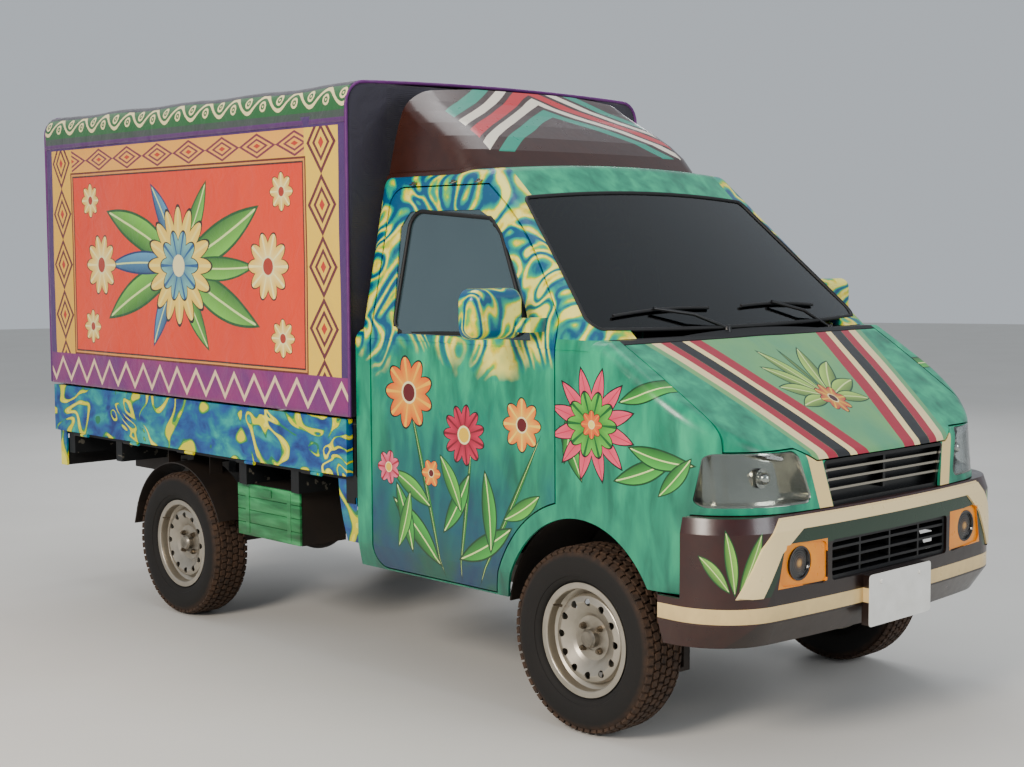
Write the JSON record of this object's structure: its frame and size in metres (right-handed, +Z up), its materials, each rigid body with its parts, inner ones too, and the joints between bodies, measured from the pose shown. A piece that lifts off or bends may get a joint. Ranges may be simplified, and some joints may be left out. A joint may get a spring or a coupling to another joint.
{
  "type": "canvas-bodied pickup truck",
  "caption": "Small semi-forward-control pickup truck with a canvas box body on hoops, dropsides, roof wind deflector, bonnet, opening doors and steered front wheels.",
  "frame": {"origin": "on the ground under the middle of the truck's length, on its centre plane", "axes": "-Y forwards, +X to the truck's left, +Z up"},
  "size_m": [1.9846, 4.048, 2.1398],
  "materials": {
    "tyre": "matte",
    "wheel_steel": "satin",
    "chassis_steel": "satin",
    "cab_paint": "satin",
    "cab_inner": "matte",
    "black_plastic": "matte",
    "bumper_paint": "satin",
    "glass": "gloss",
    "lamp": "gloss",
    "rear_lamp": "gloss",
    "engine": "matte",
    "seat": "matte",
    "bed_paint": "satin",
    "dropside_paint": "satin",
    "canvas": "matte",
    "rubber": "matte",
    "toolbox_wood": "satin"
  },
  "bodies": {
    "truck": {"front_suspension": "chassis_steel", "rear_axle": "chassis_steel", "leaf_springs": "chassis_steel", "ladder_frame": "chassis_steel", "exhaust": "chassis_steel", "propshaft": "chassis_steel", "fuel_tank": "chassis_steel", "rear_bar": "chassis_steel", "toolbox": "chassis_steel", "cab_roof": "cab_paint", "cab_rear_wall": "cab_paint", "cab_side_right": "cab_paint", "cab_side_left": "cab_paint", "front_fender_right": "cab_paint", "front_fender_left": "cab_paint", "nose_panel": "cab_paint", "floor_pan": "cab_inner", "wheelhouses": "cab_inner", "cowl": "black_plastic", "upper_grille": "black_plastic", "bumper_grille": "black_plastic", "dashboard": "black_plastic", "steering_wheel": "black_plastic", "front_bumper": "bumper_paint", "roof_fairing": "bumper_paint", "windshield": "glass", "cab_rear_window": "glass", "headlamp_lenses": "glass", "headlamp_bowls": "lamp", "fog_lamps": "lamp", "rear_lamps": "rear_lamp", "engine": "engine", "seats": "seat", "cargo_deck": "bed_paint", "bow_frame": "bed_paint", "canvas_roof": "canvas", "canvas_sides": "canvas", "canvas_ends": "canvas", "rear_mudguards": "rubber"},
    "knuckle_right_body": {"knuckle_right": "chassis_steel"},
    "knuckle_left_body": {"knuckle_left": "chassis_steel"},
    "bonnet_body": {"bonnet": "cab_paint"},
    "tailgate_body": {"tailgate": "dropside_paint"},
    "toolbox_door_body": {"toolbox_door": "toolbox_wood"},
    "door_right_body": {"door_right": "cab_paint", "door_glass_right": "glass", "mirror_right": "cab_paint"},
    "dropside_right_body": {"dropside_right": "dropside_paint"},
    "door_left_body": {"door_left": "cab_paint", "door_glass_left": "glass", "mirror_left": "cab_paint"},
    "dropside_left_body": {"dropside_left": "dropside_paint"},
    "wheel_front_right_body": {"tyre_front_right": "tyre", "rim_front_right": "wheel_steel"},
    "wheel_front_left_body": {"tyre_front_left": "tyre", "rim_front_left": "wheel_steel"},
    "wheel_rear_right_body": {"tyre_rear_right": "tyre", "rim_rear_right": "wheel_steel"},
    "wheel_rear_left_body": {"tyre_rear_left": "tyre", "rim_rear_left": "wheel_steel"}
  },
  "joints": [
    {"name": "steer_right", "type": "hinge", "parent": "truck", "child": "knuckle_right_body", "pos_m": [-0.607, -1.338, 0.176], "axis": [0.1961, 0, 0.9806], "range_deg": [-34, 34]},
    {"name": "door_right_hinge", "type": "hinge", "parent": "truck", "child": "door_right_body", "pos_m": [-0.737, -1.231, 1], "axis": [0, 0, 1], "range_deg": [0, 65]},
    {"name": "dropside_right_hinge", "type": "hinge", "parent": "truck", "child": "dropside_right_body", "pos_m": [-0.753, 0.899, 0.696], "axis": [0, -1, 0], "range_deg": [0, 175]},
    {"name": "steer_left", "type": "hinge", "parent": "truck", "child": "knuckle_left_body", "pos_m": [0.607, -1.338, 0.176], "axis": [-0.1961, 0, 0.9806], "range_deg": [-34, 34]},
    {"name": "door_left_hinge", "type": "hinge", "parent": "truck", "child": "door_left_body", "pos_m": [0.737, -1.231, 1], "axis": [0, 0, -1], "range_deg": [0, 65]},
    {"name": "dropside_left_hinge", "type": "hinge", "parent": "truck", "child": "dropside_left_body", "pos_m": [0.753, 0.899, 0.696], "axis": [0, 1, 0], "range_deg": [0, 175]},
    {"name": "bonnet_hinge", "type": "hinge", "parent": "truck", "child": "bonnet_body", "pos_m": [0, -1.466, 1.229], "axis": [-1, 0, 0], "range_deg": [0, 50]},
    {"name": "tailgate_hinge", "type": "hinge", "parent": "truck", "child": "tailgate_body", "pos_m": [0, 2.017, 0.696], "axis": [-1, 0, 0], "range_deg": [0, 175]},
    {"name": "toolbox_door_hinge", "type": "hinge", "parent": "truck", "child": "toolbox_door_body", "pos_m": [-0.7023, 0.3915, 0.391], "axis": [0, -1, 0], "range_deg": [0, 95]},
    {"name": "wheel_front_right", "type": "hinge", "parent": "knuckle_right_body", "child": "wheel_front_right_body", "pos_m": [-0.655, -1.338, 0.298], "axis": [1, 0, 0], "continuous": true},
    {"name": "wheel_front_left", "type": "hinge", "parent": "knuckle_left_body", "child": "wheel_front_left_body", "pos_m": [0.655, -1.338, 0.298], "axis": [1, 0, 0], "continuous": true},
    {"name": "wheel_rear_right", "type": "hinge", "parent": "truck", "child": "wheel_rear_right_body", "pos_m": [-0.655, 1.012, 0.298], "axis": [1, 0, 0], "continuous": true},
    {"name": "wheel_rear_left", "type": "hinge", "parent": "truck", "child": "wheel_rear_left_body", "pos_m": [0.655, 1.012, 0.298], "axis": [1, 0, 0], "continuous": true}
  ],
  "couplings": [
    {"joint": "steer_left", "follows": "steer_right", "ratio": 1}
  ]
}
